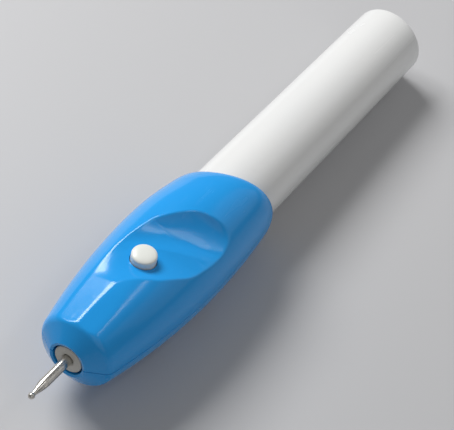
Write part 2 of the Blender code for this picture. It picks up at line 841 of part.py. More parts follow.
def smooth_route(corners):
    """Points along a smooth curve through the corners of a route."""
    ends = [corners[0]] + list(corners) + [corners[-1]]
    points = []
    for a, b, c, d in zip(ends, ends[1:], ends[2:], ends[3:]):
        a, b, c, d = (Vector(p) for p in (a, b, c, d))
        for i in range(lead_steps):
            t = i / lead_steps
            points.append(0.5 * (2 * b + (c - a) * t + (2 * a - 5 * b + 4 * c - d) * t * t
                                 + (3 * b - a - 3 * c + d) * t ** 3))
    points.append(Vector(corners[-1]))
    return points


def leads(red, black):
    """Three short leads, each from one terminal face to the next."""
    terminal_end = cap_rear_at + terminal_reach + part_gap
    room = (cap_rear_at + carrier_at) / 2
    side = terminal_offset
    tab = carrier_at - terminal_reach - part_gap
    wire("lead_motor_to_switch", smooth_route([
        (terminal_end, side, 0),
        (terminal_end + lead_bend, side, 0),
        (room, side, contact_height / 2),
        (strip_rear_at + part_gap + lead_bend, side / 2, contact_height - lead_bend),
        (strip_rear_at + part_gap + lead_bend / 2, leaf_width / 4, contact_height),
        (strip_rear_at + part_gap, leaf_width / 4, contact_height + leaf_thickness / 2),
    ]), lead_radius, red)
    wire("lead_switch_to_cell", smooth_route([
        (strip_rear_at + part_gap, -leaf_width / 4, leaf_height + leaf_thickness / 2),
        (strip_rear_at + lead_bend, -leaf_width / 4, leaf_height),
        (tab - lead_bend, -side / 2, cell_nub_radius + lead_bend),
        (tab - lead_bend, 0, cell_nub_radius),
        (tab, 0, cell_nub_radius),
    ]), lead_radius, red)
    level = -carrier_radius + part_gap + contact_thickness / 2
    wire("lead_motor_to_return", smooth_route([
        (terminal_end, -side, 0),
        (terminal_end + lead_bend, -side, 0),
        (room, -side, level / 2),
        (tab - 2 * lead_bend, 0, level),
        (tab, 0, level),
    ]), lead_radius, black)


def battery_cells(wrap):
    """Two AAA cells in line, their nubs towards the nose."""
    for name, x in (("battery_cell_front", front_cell_at), ("battery_cell_rear", rear_cell_at)):
        turned(name, [
            (x, 0),
            (x, cell_nub_radius),
            (x + cell_nub, cell_nub_radius),
            (x + cell_nub, cell_radius - cell_corner),
            (x + cell_nub + cell_corner, cell_radius),
            (x + cell_nub + cell_length - cell_corner, cell_radius),
            (x + cell_nub + cell_length, cell_radius - cell_corner),
            (x + cell_nub + cell_length, 0),
        ], wrap, small_steps)


def tube_outer_radius(x):
    """The tube draws in a little towards its tail."""
    share = (x - tube_seat_at) / (tube_end_at - tube_seat_at)
    return tube_radius + (tube_tail_radius - tube_radius) * share


def battery_tube(white):
    """The closed tube that covers the cells."""
    front = tube_seat_at + part_gap
    corner_at = tube_end_at - tube_corner
    corner_radius = tube_outer_radius(corner_at)
    profile = [(front, tube_outer_radius(front) - tube_wall), (front, tube_outer_radius(front))]
    for i in range(corner_steps + 2):
        turn = math.pi / 2 * i / (corner_steps + 1)
        profile.append((corner_at + tube_corner * math.sin(turn),
                        corner_radius - tube_corner * (1 - math.cos(turn))))
    profile.append((tube_end_at, 0))
    profile += [(tube_inner_end_at, 0), (tube_inner_end_at, tube_outer_radius(tube_inner_end_at) - tube_wall)]
    tube = turned_cup("battery_tube", profile, white)
    set_origin(tube, (front, 0, 0))
    return tube


def turned_cup(name, profile, material):
    """A turned body whose outline passes the axis twice: solid outside less the inside."""
    axis = [i for i, point in enumerate(profile) if point[1] == 0]
    outside = profile[1:axis[0] + 1]
    inside = profile[axis[1]:] + [profile[0]]
    cup = turned(name, [(outside[0][0], 0)] + outside, material)
    mouth = profile[0][0] - overrun
    room = turned(f"{name}_room", inside + [(mouth, profile[0][1]), (mouth, 0)])
    cut(cup, room)
    return cup


def lay_at_rest():
    """Tips the pen until belly and tube end both touch the ground, and centres it over the origin."""
    tail = tube_end_at - tube_corner
    tail_radius = tube_outer_radius(tail)
    stations = [grip_length * i / rest_steps for i in range(1, rest_steps)]
    tips = [math.atan2(grip_radius(x) - tail_radius, tail - x) for x in stations if x > nose_rim_at]
    pen_frame.rotation_euler = (0, max(tips), 0)
    bpy.context.view_layer.update()
    corners = []
    graph = bpy.context.evaluated_depsgraph_get()
    for thing in bpy.context.scene.objects:
        if thing.type == "EMPTY" or thing.hide_render:
            continue
        mesh = thing.evaluated_get(graph).to_mesh()
        corners += [thing.matrix_world @ vertex.co for vertex in mesh.vertices]
        thing.evaluated_get(graph).to_mesh_clear()
    low = Vector([min(corner[i] for corner in corners) for i in range(3)])
    high = Vector([max(corner[i] for corner in corners) for i in range(3)])
    pen_frame.location = (-(low.x + high.x) / 2, -(low.y + high.y) / 2, -low.z)
    bpy.context.view_layer.update()


clear_scene()
pen_frame = bpy.data.objects.new("pen_frame", None)
bpy.context.collection.objects.link(pen_frame)

blue = plastic("gloss_blue", (0.02, 0.33, 0.79), 0.2)
white = plastic("gloss_white", (0.85, 0.85, 0.85), 0.25)
warm_white = plastic("button_white", (0.82, 0.85, 0.81), 0.35)
sleeve_white = plastic("sleeve_plastic", (0.55, 0.54, 0.5), 0.45)
nickel = plastic("nickel_steel", (0.62, 0.6, 0.56), 0.25, 1.0)
zinc = plastic("zinc_steel", (0.5, 0.5, 0.5), 0.35, 1.0)
brass = plastic("brass", (0.75, 0.55, 0.22), 0.3, 1.0)
bronze = plastic("bronze", (0.5, 0.33, 0.18), 0.45, 1.0)
copper = plastic("copper", (0.8, 0.38, 0.22), 0.35, 1.0)
ferrite = plastic("ferrite", (0.05, 0.05, 0.05), 0.6)
black = plastic("black_plastic", (0.02, 0.02, 0.02), 0.45)
red_wire = plastic("red_insulation", (0.6, 0.03, 0.02), 0.4)
black_wire = plastic("black_insulation", (0.02, 0.02, 0.02), 0.4)
cell_wrap = plastic("cell_wrap", (0.12, 0.13, 0.14), 0.3)

grip_shells(blue)
grip_screws(zinc)
power_button(warm_white)
switch_contacts(brass)
nib(sleeve_white, nickel)
motor(zinc, bronze, ferrite, copper, brass, black)
battery_carrier(black)
cell_contacts(brass, nickel)
battery_cells(cell_wrap)
leads(red_wire, black_wire)
battery_tube(white)
lay_at_rest()
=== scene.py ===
import bisect
import json
import math

import bpy
from mathutils import Matrix, Vector


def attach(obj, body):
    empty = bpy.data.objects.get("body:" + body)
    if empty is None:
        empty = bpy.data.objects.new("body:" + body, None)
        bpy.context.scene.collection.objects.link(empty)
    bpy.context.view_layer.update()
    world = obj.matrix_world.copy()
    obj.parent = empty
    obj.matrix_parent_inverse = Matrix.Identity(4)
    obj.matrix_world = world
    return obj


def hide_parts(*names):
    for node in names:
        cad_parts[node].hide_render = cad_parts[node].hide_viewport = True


# A battery engraving pen. Each piece is modelled in the pen's own frame, X from
# the nose mouth to the tail and Z towards the button, then laid down at rest.
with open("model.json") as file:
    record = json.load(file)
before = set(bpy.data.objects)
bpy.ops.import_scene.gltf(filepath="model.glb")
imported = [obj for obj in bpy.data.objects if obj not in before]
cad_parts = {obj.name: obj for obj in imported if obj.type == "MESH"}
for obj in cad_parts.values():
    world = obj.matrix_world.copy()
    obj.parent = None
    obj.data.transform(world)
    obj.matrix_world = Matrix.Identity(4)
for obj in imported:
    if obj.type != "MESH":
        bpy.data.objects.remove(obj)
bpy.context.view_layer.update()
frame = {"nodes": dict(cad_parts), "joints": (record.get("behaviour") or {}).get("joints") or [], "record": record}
record = frame["record"]
mm = 0.001
# Vertices nearer than this are one vertex
weld = 0.002 * mm
# Cutting tools reach this far past the face they cut
over = mm
quarter = math.pi / 2

penLength = 147.2 * mm
spinJoint = [j for j in frame["joints"] if j["name"] == "motor_spin"][0]
tailFace = [m for m in record["mounts"] if m["name"] == "tail_face"][0]
penAxis = Vector(spinJoint["axis"]).normalized()
penUp = Vector((-penAxis.z, 0, penAxis.x))
penNose = Vector(tailFace["pos_m"]) - penAxis * penLength
penTilt = math.atan2(-penAxis.z, penAxis.x)
penFrame = Matrix((
    (penAxis.x, 0, penUp.x, penNose.x),
    (0, 1, 0, penNose.y),
    (penAxis.z, 0, penUp.z, penNose.z),
    (0, 0, 0, 1),
))
print("frame loaded, the pen is tipped by", round(math.degrees(penTilt), 2), "degrees")


def deselectAll():
    if bpy.context.mode != "OBJECT":
        bpy.ops.object.mode_set(mode="OBJECT")
    bpy.ops.object.select_all(action="DESELECT")


def pick(piece, *others):
    deselectAll()
    for thing in (piece, *others):
        thing.select_set(True)
    bpy.context.view_layer.objects.active = piece


def editMode():
    bpy.ops.object.mode_set(mode="EDIT")


def objectMode():
    bpy.ops.object.mode_set(mode="OBJECT")


def named(name):
    piece = bpy.context.object
    piece.name = name
    piece.data.name = name
    return piece


def duplicateOf(piece):
    pick(piece)
    bpy.ops.object.duplicate()
    return bpy.context.object


def weldAll():
    # In edit mode: vertices that meet become one, and all faces look outwards
    bpy.ops.mesh.select_all(action="SELECT")
    bpy.ops.mesh.remove_doubles(threshold=weld)
    bpy.ops.mesh.normals_make_consistent(inside=False)
    objectMode()


def spinProfile(name, profile, steps, closed=False):
    # One vertex is walked along the profile, then spun round the pen's axis
    deselectAll()
    bpy.ops.mesh.primitive_plane_add(size=mm, location=(0, 0, 0))
    piece = named(name)
    editMode()
    bpy.ops.mesh.select_mode(type="VERT")
    bpy.ops.mesh.select_all(action="SELECT")
    bpy.ops.mesh.merge(type="CENTER")
    x, r = profile[0]
    bpy.ops.transform.translate(value=(x, 0, r))
    for nextX, nextR in profile[1:]:
        bpy.ops.mesh.extrude_vertices_move(TRANSFORM_OT_translate={"value": (nextX - x, 0, nextR - r)})
        x, r = nextX, nextR
    if closed:
        objectMode()
        count = len(piece.data.vertices)
        for v in piece.data.vertices:
            v.select = v.index in (0, count - 1)
        editMode()
        bpy.ops.mesh.edge_face_add()
    bpy.ops.mesh.select_all(action="SELECT")
    bpy.ops.mesh.spin(steps=steps, angle=math.tau, center=(0, 0, 0), axis=(1, 0, 0))
    weldAll()
    return piece


def joined(pieces):
    pick(*pieces)
    bpy.ops.object.join()
    return pieces[0]


def welded(pieces):
    # One closed surface out of pieces that end on the same rings
    body = joined(pieces)
    editMode()
    weldAll()
    return body


def applyModifier(piece, kind, name, **settings):
    pick(piece)
    step = piece.modifiers.new(name, kind)
    for key, value in settings.items():
        setattr(step, key, value)
    bpy.ops.object.modifier_apply(modifier=name)
    return piece


def roundEdges(piece, width, segments, angle):
    return applyModifier(piece, "BEVEL", "edgeRound", width=width, segments=segments, limit_method="ANGLE",
                         angle_limit=math.radians(angle), use_clamp_overlap=True, harden_normals=False)


def carve(piece, tool, operation="DIFFERENCE"):
    applyModifier(piece, "BOOLEAN", "carve", object=tool, operation=operation, solver="EXACT")
    bpy.data.objects.remove(tool)
    return piece


def post(name, x, y, low, high, radius, steps):
    # An upright cylinder between two heights
    deselectAll()
    bpy.ops.mesh.primitive_cylinder_add(vertices=steps, radius=radius, depth=high - low,
                                        location=(x, y, (low + high) / 2))
    bpy.ops.object.transform_apply(location=True, rotation=True, scale=True)
    return named(name)


def makeBox(name, low, high):
    deselectAll()
    bpy.ops.mesh.primitive_cube_add(size=1, location=[(a + b) / 2 for a, b in zip(low, high)])
    piece = named(name)
    piece.scale = [b - a for a, b in zip(low, high)]
    bpy.ops.object.transform_apply(location=True, rotation=True, scale=True)
    return piece


def standUp(piece, x, y):
    # A piece spun round X is turned to stand on Z over the point x, y
    piece.data.transform(Matrix.Translation((x, y, 0)) @ Matrix.Rotation(-quarter, 4, "Y"))
    return piece


def smoothShade(piece, angle):
    pick(piece)
    bpy.ops.object.shade_smooth_by_angle(angle=math.radians(angle))
    return piece


def layDown(piece, body, slotName, material, *nodes):
    piece.data.materials.clear()
    piece.data.materials.append(material)
    piece.data.transform(penFrame)
    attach(piece, body)
    if nodes:
        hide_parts(*nodes)
    print("made", piece.name, len(piece.data.polygons), "faces")
    return piece


# Camera, first, at the photograph's viewing angle
camera = {
    "heading": 63.59, "drop": 50.55, "roll": 11.06, "distance": 626.5 * mm, "aimHeight": 12.0 * mm,
    "aimAlong": 67.07 * mm, "focal": 2462.0, "centreX": 225.0, "centreY": 206.1, "width": 454.0,
    "height": 430.0, "sensor": 36.0, "nearest": 0.01, "farthest": 20,
}


def makeCamera():
    c = camera
    heading, drop, roll = (math.radians(c[key]) for key in ("heading", "drop", "roll"))
    level = Vector((math.sin(heading), math.cos(heading), 0))
    forward = level * math.cos(drop) - Vector((0, 0, math.sin(drop)))
    right = Vector((math.cos(heading), -math.sin(heading), 0))
    up = right.cross(forward)
    right, up = (right * math.cos(roll) + up * math.sin(roll), up * math.cos(roll) - right * math.sin(roll))
    deselectAll()
    bpy.ops.object.camera_add()
    thing = bpy.context.object
    turn = Matrix((right, up, -forward)).transposed().to_4x4()
    place = Vector((penNose.x + c["aimAlong"], 0, c["aimHeight"])) - forward * c["distance"]
    thing.matrix_world = Matrix.Translation(place) @ turn
    lens = thing.data
    lens.sensor_width = c["sensor"]
    lens.lens = c["focal"] * c["sensor"] / c["width"]
    lens.shift_x = (c["width"] / 2 - c["centreX"]) / c["width"]
    lens.shift_y = (c["centreY"] - c["height"] / 2) / c["width"]
    lens.clip_start = c["nearest"]
    lens.clip_end = c["farthest"]
    bpy.context.scene.camera = thing


makeCamera()
print("camera placed")


# Shader helpers
def addNode(tree, kind, **settings):
    node = tree.nodes.new(kind)
    for key, value in settings.items():
        setattr(node, key, value)
    return node


def feed(tree, source, target):
    # An output is linked to the input, and a plain value is set on it
    if isinstance(source, bpy.types.NodeSocket):
        tree.links.new(source, target)
    else:
        target.default_value = source


def noiseNode(tree, vector, scale, detail, rough=0.5):
    node = addNode(tree, "ShaderNodeTexNoise")
    for name, source in (("Scale", scale), ("Detail", detail), ("Roughness", rough), ("Vector", vector)):
        feed(tree, source, node.inputs[name])
    return node.outputs["Fac"]


def mathNode(tree, operation, a, b):
    node = addNode(tree, "ShaderNodeMath", operation=operation)
    feed(tree, a, node.inputs[0])
    feed(tree, b, node.inputs[1])
    return node.outputs[0]


def rangeNode(tree, value, span, low=0.0, high=1.0):
    node = addNode(tree, "ShaderNodeMapRange", clamp=True)
    rows = (("From Min", span[0]), ("From Max", span[1]), ("To Min", low), ("To Max", high), ("Value", value))
    for name, source in rows:
        feed(tree, source, node.inputs[name])
    return node.outputs["Result"]


def newGroup(name, inputs, outputs):
    # A node group that takes a vector and numbers, and gives numbers
    group = bpy.data.node_groups.new(name, "ShaderNodeTree")
    group.interface.new_socket(name="Vector", in_out="INPUT", socket_type="NodeSocketVector")
    for way, titles in (("INPUT", inputs), ("OUTPUT", outputs)):
        for title in titles:
            group.interface.new_socket(name=title, in_out=way, socket_type="NodeSocketFloat")
    return group, addNode(group, "NodeGroupInput").outputs, addNode(group, "NodeGroupOutput").inputs


patterns = {
    "rippleDetail": 1.0, "grainDetail": 3.0,
    "flowStretch": (0.25, 1.0, 1.0), "flowScale": 90.0, "flowDetail": 4.0, "flowSpan": (0.35, 0.65),
    "scratchTurns": ((0.3, 0.2, 0.5), (1.2, 0.7, 2.1), (2.3, 1.4, 0.9)), "scratchStretch": (0.04, 1.0, 1.0),
    "scratchDetail": 2.0, "scratchSpan": (0.69, 0.74),
    "hazeDetail": 5.0, "hazeRough": 0.6, "hazeSpan": (0.45, 0.7), "ringDetail": 3.0, "ringSpan": (0.3, 0.7),
}


def makeMouldSkin():
    # The faint waviness and fine grain that a polished mould leaves
    p = patterns
    group, inside, outside = newGroup(
        "mouldSkin", ("Ripple Scale", "Grain Scale", "Grain Share"), ("Height", "Flow"))
    ripple = noiseNode(group, inside["Vector"], inside["Ripple Scale"], p["rippleDetail"])
    grain = noiseNode(group, inside["Vector"], inside["Grain Scale"], p["grainDetail"])
    fine = mathNode(group, "MULTIPLY", grain, inside["Grain Share"])
    feed(group, mathNode(group, "ADD", ripple, fine), outside["Height"])
    stretched = addNode(group, "ShaderNodeVectorMath", operation="MULTIPLY")
    feed(group, inside["Vector"], stretched.inputs[0])
    feed(group, p["flowStretch"], stretched.inputs[1])
    feed(group, noiseNode(group, stretched.outputs[0], p["flowScale"], p["flowDetail"]), outside["Flow"])
    return group


def makeHandling():
    # Hairline scratches in several directions, and a patchy haze of fingermarks
    p = patterns
    group, inside, outside = newGroup("handlingMarks", ("Scratch Scale", "Haze Scale"), ("Scratches", "Haze"))
    lines = None
    for turn in p["scratchTurns"]:
        place = addNode(group, "ShaderNodeMapping")
        feed(group, turn, place.inputs["Rotation"])
        feed(group, p["scratchStretch"], place.inputs["Scale"])
        feed(group, inside["Vector"], place.inputs["Vector"])
        streak = noiseNode(group, place.outputs[0], inside["Scratch Scale"], p["scratchDetail"])
        line = rangeNode(group, streak, p["scratchSpan"])
        lines = line if lines is None else mathNode(group, "MAXIMUM", lines, line)
    feed(group, lines, outside["Scratches"])
    haze = noiseNode(group, inside["Vector"], inside["Haze Scale"], p["hazeDetail"], p["hazeRough"])
    feed(group, rangeNode(group, haze, p["hazeSpan"]), outside["Haze"])
    return group


def makeTurnedMetal():
    # Fine tool rings round the pen's axis
    group, inside, outside = newGroup("turnedRings", ("Ring Scale",), ("Rings",))
    apart = addNode(group, "ShaderNodeSeparateXYZ")
    feed(group, inside["Vector"], apart.inputs[0])
    along = addNode(group, "ShaderNodeCombineXYZ")
    feed(group, apart.outputs["X"], along.inputs["X"])
    rings = noiseNode(group, along.outputs[0], inside["Ring Scale"], patterns["ringDetail"])
    feed(group, rings, outside["Rings"])
    return group


mouldSkin = makeMouldSkin()
handlingMarks = makeHandling()
turnedRings = makeTurnedMetal()


def penVector(tree):
    # Object coordinates turned into the pen's frame, so that patterns follow its axis
    place = addNode(tree, "ShaderNodeMapping", vector_type="POINT")
    place.inputs["Rotation"].default_value = (0, -penTilt, 0)
    feed(tree, addNode(tree, "ShaderNodeTexCoord").outputs["Object"], place.inputs["Vector"])
    return place.outputs["Vector"]


def groupNode(tree, group, vector, look, keys):
    # Each key of a look fills the input of the same name, as ringScale fills Ring Scale
    node = addNode(tree, "ShaderNodeGroup", node_tree=group)
    feed(tree, vector, node.inputs["Vector"])
    for key in keys:
        title = "".join(" " + letter if letter.isupper() else letter for letter in key).title()
        node.inputs[title].default_value = look[key]
    return node.outputs


def mixColors(tree, mask, first, second):
    node = addNode(tree, "ShaderNodeMix", data_type="RGBA")
    feed(tree, mask, node.inputs[0])
    for slotIndex, color in ((6, first), (7, second)):
        feed(tree, (*color, 1) if isinstance(color, tuple) else color, node.inputs[slotIndex])
    return node.outputs[2]


def newMaterial(name):
    material = bpy.data.materials.new(name)
    material.use_nodes = True
    tree = material.node_tree
    return material, tree, tree.nodes["Principled BSDF"]


def addBump(tree, shader, look, height, scratches):
    # Scratches are cut into the height before it tips the surface
    cut = mathNode(tree, "MULTIPLY", scratches, -look["scratchDepth"])
    bump = addNode(tree, "ShaderNodeBump")
    feed(tree, look["bump"], bump.inputs["Strength"])
    feed(tree, look["bumpDepth"], bump.inputs["Distance"])
    feed(tree, mathNode(tree, "ADD", height, cut), bump.inputs["Height"])
    feed(tree, bump.outputs["Normal"], shader.inputs["Normal"])


def mouldedPlastic(name, look):
    material, tree, shader = newMaterial(name)
    vector = penVector(tree)
    skin = groupNode(tree, mouldSkin, vector, look, ("rippleScale", "grainScale", "grainShare"))
    marks = groupNode(tree, handlingMarks, vector, look, ("scratchScale", "hazeScale"))
    flow = rangeNode(tree, skin["Flow"], patterns["flowSpan"])
    color = mixColors(tree, flow, look["color"], look["flowColor"])
    worn = mathNode(tree, "MULTIPLY", marks["Scratches"], look["scratchColor"])
    feed(tree, mixColors(tree, worn, color, look["markColor"]), shader.inputs["Base Color"])
    rough = rangeNode(tree, marks["Haze"], (0.0, 1.0), look["roughness"], look["roughness"] + look["haze"])
    scratched = mathNode(tree, "MULTIPLY", marks["Scratches"], look["scratchRough"])
    feed(tree, mathNode(tree, "ADD", rough, scratched), shader.inputs["Roughness"])
    addBump(tree, shader, look, skin["Height"], marks["Scratches"])
    for title, key in (("IOR", "ior"), ("Coat Weight", "coat"), ("Coat Roughness", "coatRoughness")):
        shader.inputs[title].default_value = look[key]
    return material


def metal(name, look):
    material, tree, shader = newMaterial(name)
    vector = penVector(tree)
    rings = groupNode(tree, turnedRings, vector, look, ("ringScale",))["Rings"]
    marks = groupNode(tree, handlingMarks, vector, look, ("scratchScale", "hazeScale"))
    feed(tree, mixColors(tree, marks["Haze"], look["color"], look["stain"]), shader.inputs["Base Color"])
    shader.inputs["Metallic"].default_value = 1.0
    rough = rangeNode(tree, rings, patterns["ringSpan"], look["roughness"] - look["spread"],
                      look["roughness"] + look["spread"])
    hazy = mathNode(tree, "MULTIPLY", marks["Haze"], look["haze"])
    feed(tree, mathNode(tree, "ADD", rough, hazy), shader.inputs["Roughness"])
    addBump(tree, shader, look, rings, marks["Scratches"])
    return material


plasticLook = {
    "color": (0.014, 0.325, 0.800), "flowColor": (0.017, 0.340, 0.820), "markColor": (0.11, 0.44, 0.86),
    "roughness": 0.16, "haze": 0.07, "rippleScale": 260.0, "grainScale": 5200.0, "grainShare": 0.10,
    "scratchScale": 420.0, "hazeScale": 70.0,
    "scratchColor": 0.05, "scratchRough": 0.10, "scratchDepth": 0.06,
    "bump": 0.35, "bumpDepth": 0.00006, "ior": 1.42, "coat": 0.10, "coatRoughness": 0.06,
}
metalLook = {
    "color": (0.66, 0.64, 0.60), "stain": (0.56, 0.53, 0.48), "roughness": 0.24, "spread": 0.05, "haze": 0.08,
    "ringScale": 9000.0, "scratchScale": 900.0, "hazeScale": 400.0, "scratchDepth": 0.3,
    "bump": 0.25, "bumpDepth": 0.00003,
}
blueGloss = mouldedPlastic("blueGloss", plasticLook)
whiteGloss = mouldedPlastic("whiteGloss", {
    **plasticLook, "color": (0.80, 0.80, 0.79), "flowColor": (0.78, 0.785, 0.78),
    "markColor": (0.66, 0.66, 0.65),
    "roughness": 0.20, "haze": 0.08, "scratchColor": 0.08, "coat": 0.25, "ior": 1.50, "rippleScale": 180.0})
warmWhite = mouldedPlastic("warmWhite", {
    **plasticLook, "color": (0.80, 0.815, 0.77), "flowColor": (0.78, 0.79, 0.74),
    "markColor": (0.62, 0.61, 0.55), "roughness": 0.30, "haze": 0.10, "coat": 0.1, "grainShare": 0.35})
sleeveNatural = mouldedPlastic("sleeveNatural", {
    **plasticLook, "color": (0.58, 0.57, 0.53), "flowColor": (0.54, 0.53, 0.49),
    "markColor": (0.40, 0.39, 0.36),
    "roughness": 0.42, "haze": 0.12, "coat": 0.0, "grainShare": 0.6, "bump": 0.5})
blackMatte = mouldedPlastic("blackMatte", {
    **plasticLook, "color": (0.020, 0.020, 0.021), "flowColor": (0.025, 0.025, 0.026),
    "markColor": (0.09, 0.09, 0.09), "roughness": 0.45, "haze": 0.10, "coat": 0.0, "grainShare": 0.9,
    "bump": 0.6})
ferriteGrey = mouldedPlastic("ferriteGrey", {
    **plasticLook, "color": (0.045, 0.044, 0.043), "flowColor": (0.06, 0.058, 0.055),
    "markColor": (0.12, 0.12, 0.11), "roughness": 0.6, "haze": 0.1, "coat": 0.0, "grainShare": 1.2,
    "bump": 0.8})
redLead = mouldedPlastic("redLead", {
    **plasticLook, "color": (0.55, 0.025, 0.015), "flowColor": (0.5, 0.02, 0.012),
    "markColor": (0.5, 0.1, 0.08), "roughness": 0.38, "coat": 0.0})
blackLead = mouldedPlastic("blackLead", {
    **plasticLook, "color": (0.018, 0.018, 0.018), "flowColor": (0.022, 0.022, 0.022),
    "markColor": (0.08, 0.08, 0.08), "roughness": 0.38, "coat": 0.0})
cellFilm = mouldedPlastic("cellFilm", {
    **plasticLook, "color": (0.30, 0.32, 0.33), "flowColor": (0.33, 0.35, 0.36), "markColor": (0.5, 0.5, 0.5),
    "roughness": 0.26, "coat": 0.4, "rippleScale": 500.0})
nickel = metal("nickel", {**metalLook, "bump": 0.06})
zincSteel = metal("zincSteel", {
    **metalLook, "color": (0.52, 0.52, 0.51), "stain": (0.44, 0.44, 0.42), "roughness": 0.33})
brassStrip = metal("brassStrip", {
    **metalLook, "color": (0.76, 0.56, 0.24), "stain": (0.62, 0.42, 0.18), "roughness": 0.28})
bronzeBush = metal("bronzeBush", {
    **metalLook, "color": (0.48, 0.32, 0.18), "stain": (0.36, 0.23, 0.13), "roughness": 0.45})
copperWinding = metal("copperWinding", {
    **metalLook, "color": (0.80, 0.36, 0.20), "stain": (0.62, 0.26, 0.14), "roughness": 0.32,
    "ringScale": 5000.0})
cellSteel = metal("cellSteel", {**metalLook, "color": (0.60, 0.60, 0.60), "roughness": 0.3})
print("materials built")


# Grip: the outside is one surface over (x, turn), turn 0 at the button and
# growing towards -Y
grip = {
    "widestAt": 41.8 * mm, "length": 70.0 * mm, "maxRadius": 14.75 * mm,
    "rimAt": 3.3 * mm, "rimRadius": 10.35 * mm, "rimRound": 1.3 * mm, "lipRadius": 5.1 * mm,
    "endRadius": 10.9 * mm, "endRound": 1.4 * mm, "endRoundLength": 5.5 * mm, "fallPowers": (1.9, 2.0),
    "slant": 0.39, "slantFrom": 42.0 * mm, "slantTurn": math.radians(-26.8),
    "wave": 0.128, "waveTurn": math.radians(-46.7), "flatShare": 0.034,
    "wall": 1.8 * mm, "parting": 0.2 * mm, "mouthRadius": 10.7 * mm, "seatAt": 59.6 * mm,
    "neckRadius": 8.6 * mm, "boreRadius": 4.4 * mm, "boreEnd": 13.8 * mm, "slantReach": 10.0 * mm,
    "smooth": 40, "stepsAlong": 250, "stepsAround": 480,
    "coneSteps": 20, "bendSteps": 14, "endSteps": 24, "roomSteps": 60, "neckSteps": 5,
}
# The thumb hollow starts as a flat at the nose, turns over the top and sags
# into a scoop; each row gives its state at the stations in "at"
hollow = {
    "at": (4.5, 17.5, 21.2, 25.5, 28.2, 33.8, 39.4, 42.3, 45.9, 48.8, 50.4, 51.2),
    "left": (-39, -36, -35, -34, -33, -27, -20, -12, -2, 8, 22, 35),
    "right": (-5, -3, 10, 28, 36, 50, 55.5, 57, 57, 53, 48, 43),
    "sag": (0, 0, 0, 0, 0, 0.8, 1.0, 0.85, 0.5, 0.2, 0, 0),
    "creases": (0, 1, 4, 6, 11), "steps": 40, "blend": 0.22 * mm, "wall": 1.5 * mm, "reach": 0.5, "skew": 0.8,
    "rounds": 3,
}
sideFlat = {"turn": math.radians(8), "reach": 1.0, "from": 4.5 * mm, "to": 17.0 * mm,
            "low": 10.33 * mm, "high": 12.9 * mm}


def smoothStep(share):
    share = min(max(share, 0.0), 1.0)
    return share * share * (3 - 2 * share)


def gripRadius(x):
    g = grip
    if x < g["widestAt"]:
        share = (g["widestAt"] - x) / (g["widestAt"] - g["rimAt"])
        return g["maxRadius"] - (g["maxRadius"] - g["rimRadius"]) * max(share, 0) ** g["fallPowers"][0]
    share = (x - g["widestAt"]) / (g["length"] - g["widestAt"])
    fall = (g["maxRadius"] - g["endRadius"] - g["endRound"]) * share ** g["fallPowers"][1]
    turn = min(max((x - g["length"] + g["endRoundLength"]) / g["endRoundLength"], 0), 1)
    return g["maxRadius"] - fall - g["endRound"] * (1 - math.sqrt(1 - turn * turn))


def curveThrough(values, place):
    # Passes smoothly through the values but for the creases
    low = min(int(place), len(values) - 2)
    share = place - low
    b, c = values[low], values[low + 1]
    a = 2 * b - c if low in hollow["creases"] else values[low - 1]
    d = 2 * c - b if low + 1 in hollow["creases"] else values[low + 2]
    return (2 * b + (c - a) * share + (2 * a - 5 * b + 4 * c - d) * share ** 2
            + (3 * b - a - 3 * c + d) * share ** 3) / 2


def hollowStates():
    # Rows of x, middle turn, height of the flat, half its width, and sag
    rows = []
    for i in range((len(hollow["at"]) - 1) * hollow["steps"] + 1):
        place = i / hollow["steps"]
        x = curveThrough(hollow["at"], place) * mm
        left, right = (math.radians(curveThrough(hollow[side], place)) for side in ("left", "right"))
        half, radius = (right - left) / 2, gripRadius(x)
        sag = curveThrough(hollow["sag"], place) * mm
        rows.append((x, (left + right) / 2, radius * math.cos(half), radius * math.sin(half), sag))
    return rows


states = hollowStates()
stateStarts = [state[0] for state in states]


def stateAt(x):
    high = min(max(bisect.bisect(stateStarts, x), 1), len(states) - 1)
    before, after = states[high - 1], states[high]
    share = min(max((x - before[0]) / max(after[0] - before[0], weld), 0), 1)
    return [b + (a - b) * share for b, a in zip(before[1:], after[1:])]


def hollowFloor(x, turn):
    # How far out from the axis the hollow's floor lies, or None well outside it
    middle, height, half, sag = stateAt(x)
    if x < stateStarts[0]:
        later = states[hollow["steps"]]
        height += (x - stateStarts[0]) * (later[2] - height) / (later[0] - stateStarts[0])
    height += max(x - stateStarts[-1], 0)
    across = turn - middle
    if abs(across) > math.atan2(half, height) + hollow["reach"]:
        return None
    level = height
    for _ in range(hollow["rounds"]):
        side = level * math.tan(across)
        dip = min(sag, stateAt(x - hollow["skew"] * max(side + half, 0))[3]) if sag else 0
        level = height - dip * (1 - (side / half) ** 2)
    return level / math.cos(across)


def softMin(a, b, width):
    near = max(width - abs(a - b), 0) / width
    return min(a, b) - near * near * width / 4


def skinRadius(x, turn, radius):
    f = sideFlat
    r = radius
    if abs(turn - f["turn"]) < f["reach"]:
        height = f["low"] + (x - f["from"]) * (f["high"] - f["low"]) / (f["to"] - f["from"])
        r = softMin(r, height / math.cos(turn - f["turn"]), hollow["blend"])
    floor = hollowFloor(x, turn)
    return r if floor is None else softMin(r, floor, hollow["blend"])


def slantShift(x, turn, radius):
    g = grip
    lean = g["slant"] * math.cos(turn - g["slantTurn"]) + g["wave"] * math.cos(2 * (turn - g["waveTurn"]))
    return -lean * radius * smoothStep((x - g["slantFrom"]) / (g["length"] - g["slantFrom"]))


